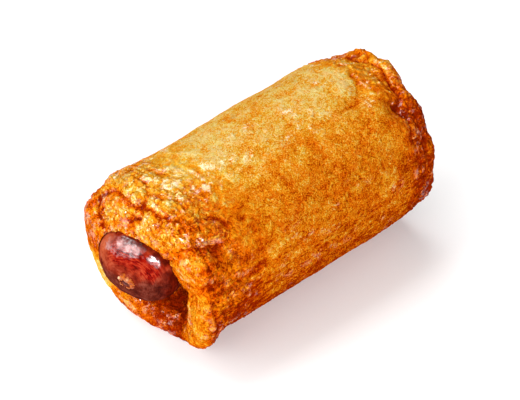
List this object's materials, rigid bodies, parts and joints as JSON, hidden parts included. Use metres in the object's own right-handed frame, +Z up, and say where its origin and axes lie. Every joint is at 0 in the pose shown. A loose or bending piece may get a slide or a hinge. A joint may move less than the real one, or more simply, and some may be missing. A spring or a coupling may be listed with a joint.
{
  "type": "sausage roll",
  "caption": "Golden fried dough wrapped round a curved frankfurter that shows in its open mouth.",
  "frame": {"origin": "middle of the part's box, on the surface that it rests on", "axes": "+X along the roll from the open mouth that shows the sausage to the far end, +Z up"},
  "size_m": [0.0988, 0.05, 0.0462],
  "materials": {
    "fried_dough": "oily, golden brown, finely blistered",
    "sausage_skin": "glossy smoked skin"
  },
  "bodies": {
    "root": {"dough": "fried_dough", "sausage": "sausage_skin"}
  },
  "joints": []
}
